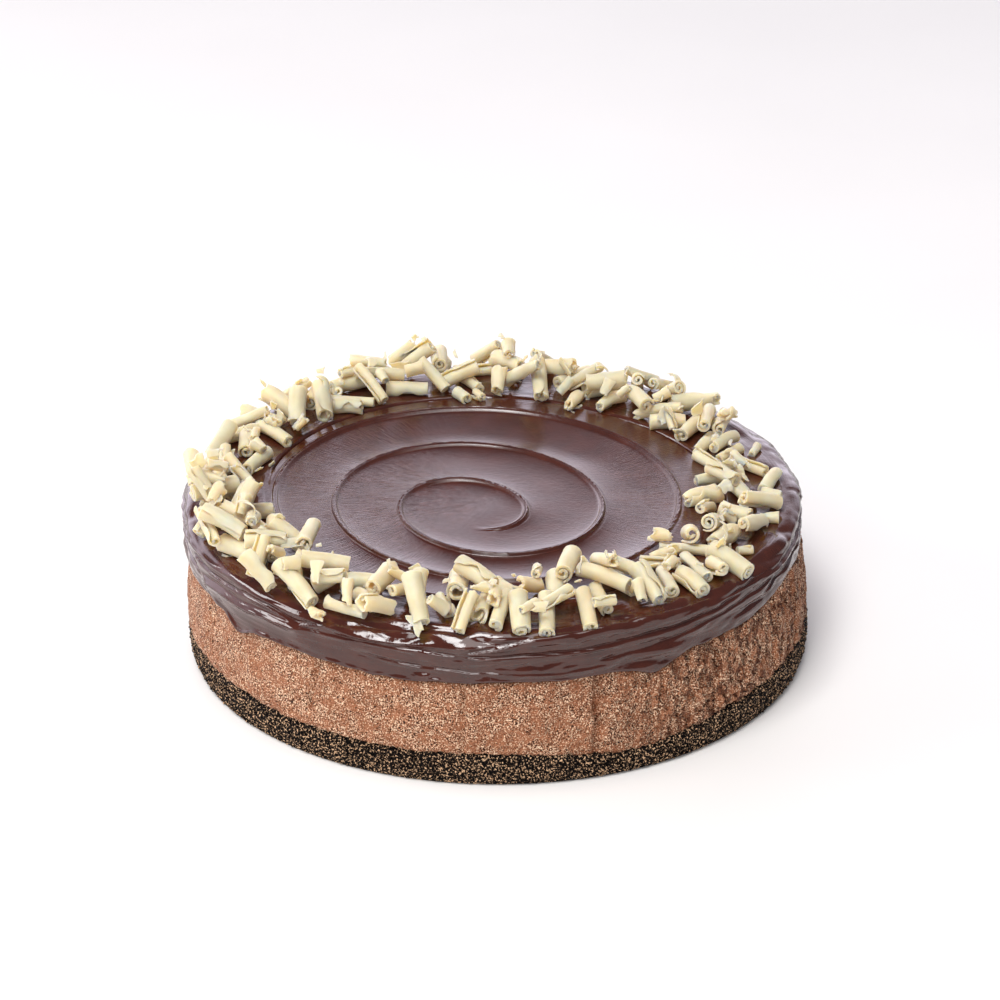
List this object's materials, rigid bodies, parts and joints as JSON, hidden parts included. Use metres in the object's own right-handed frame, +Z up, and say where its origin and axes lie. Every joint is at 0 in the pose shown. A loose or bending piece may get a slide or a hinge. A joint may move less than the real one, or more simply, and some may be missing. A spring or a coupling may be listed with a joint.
{
  "type": "chocolate cheesecake",
  "caption": "Whole round chocolate cheesecake: dark crumb crust, milk-chocolate cheesecake, ganache cap with a spatula swirl and a ring of white chocolate curls.",
  "frame": {"origin": "centre of the crust's flat underside", "axes": "+Z up through the cake, +X to the right and +Y to the back as the cake is shown"},
  "size_m": [0.2075, 0.2031, 0.0694],
  "materials": {
    "crumb_crust": "dry dark cookie crumb",
    "cheesecake": "baked, porous, dull",
    "ganache": "set dark ganache, glossy",
    "white_chocolate": "white chocolate, satin"
  },
  "bodies": {
    "root": {"crust": "crumb_crust", "cheesecake": "cheesecake", "ganache": "ganache"}
  },
  "joints": []
}
